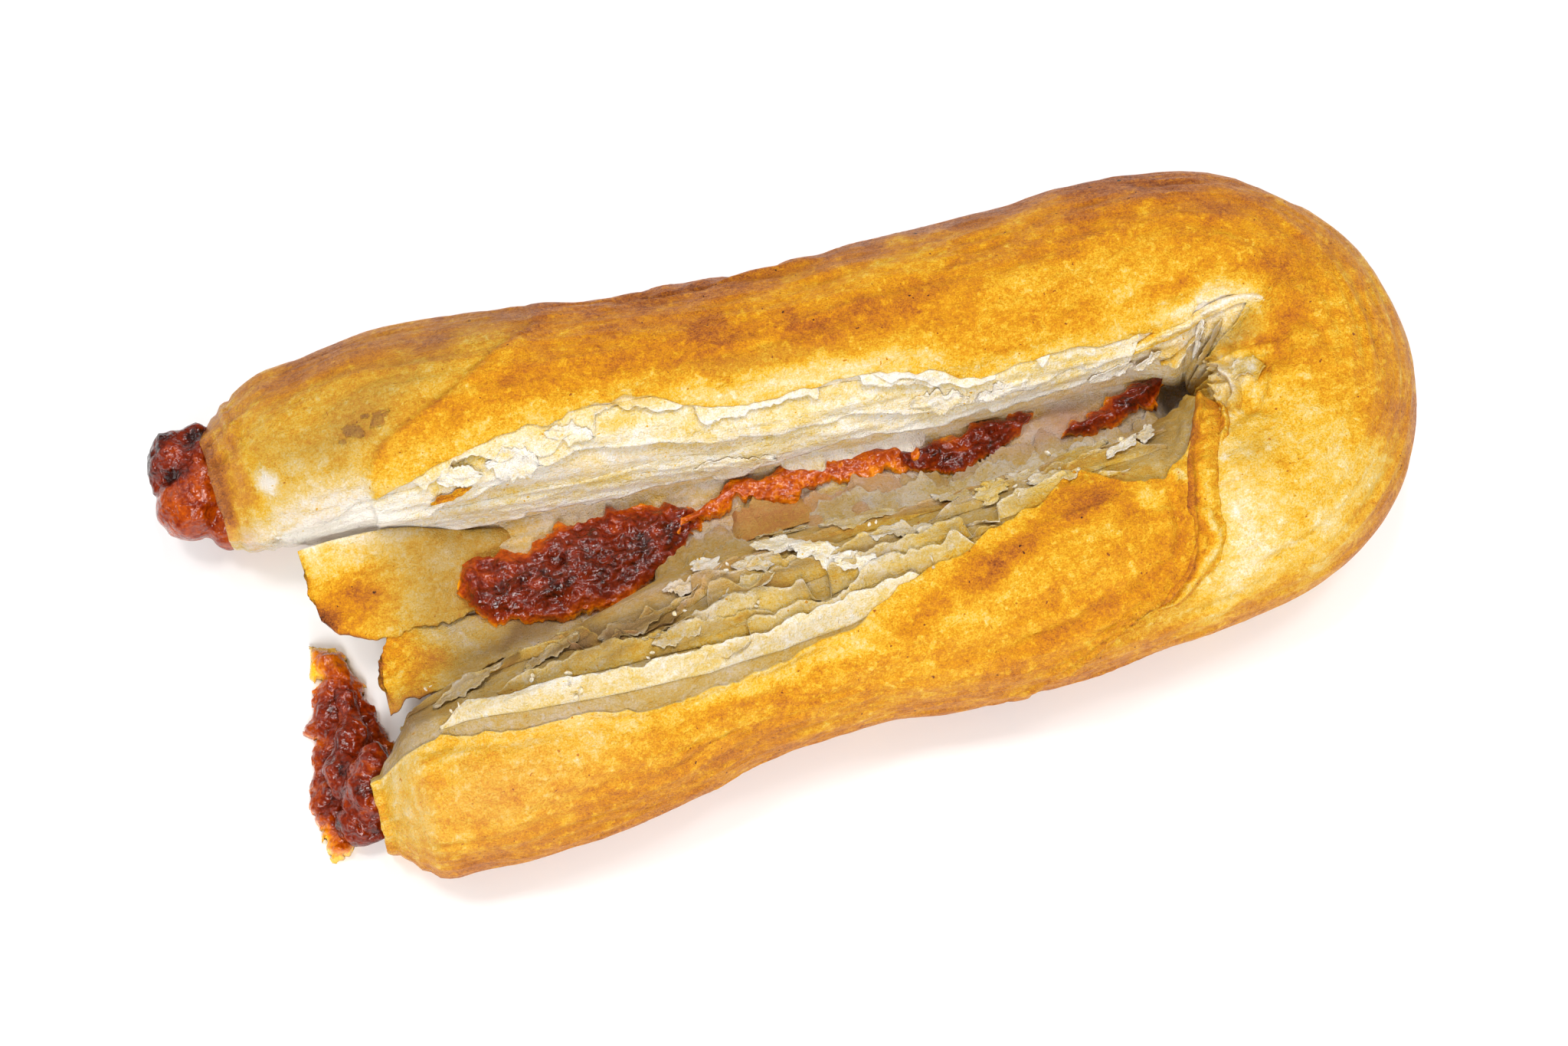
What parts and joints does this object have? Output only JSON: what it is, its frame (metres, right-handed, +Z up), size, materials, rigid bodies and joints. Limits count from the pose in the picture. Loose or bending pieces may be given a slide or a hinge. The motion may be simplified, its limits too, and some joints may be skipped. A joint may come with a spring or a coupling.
{
  "type": "jam borek",
  "caption": "Hairpin-bent roll of baked filo pastry with a red-brown jam filling that shows in its burst valley and at both open ends.",
  "frame": {"origin": "middle of the overall box, on the plane that the pastry rests on", "axes": "+X towards the roll's bend, +Y towards the longer leg of the hairpin, +Z up"},
  "size_m": [0.2002, 0.0913, 0.0338],
  "materials": {
    "baked_filo": "baked dough, golden, matt to soft satin",
    "jam": "cooked jam, wet gloss"
  },
  "bodies": {
    "root": {"pastry": "baked_filo", "filling": "jam"}
  },
  "joints": []
}
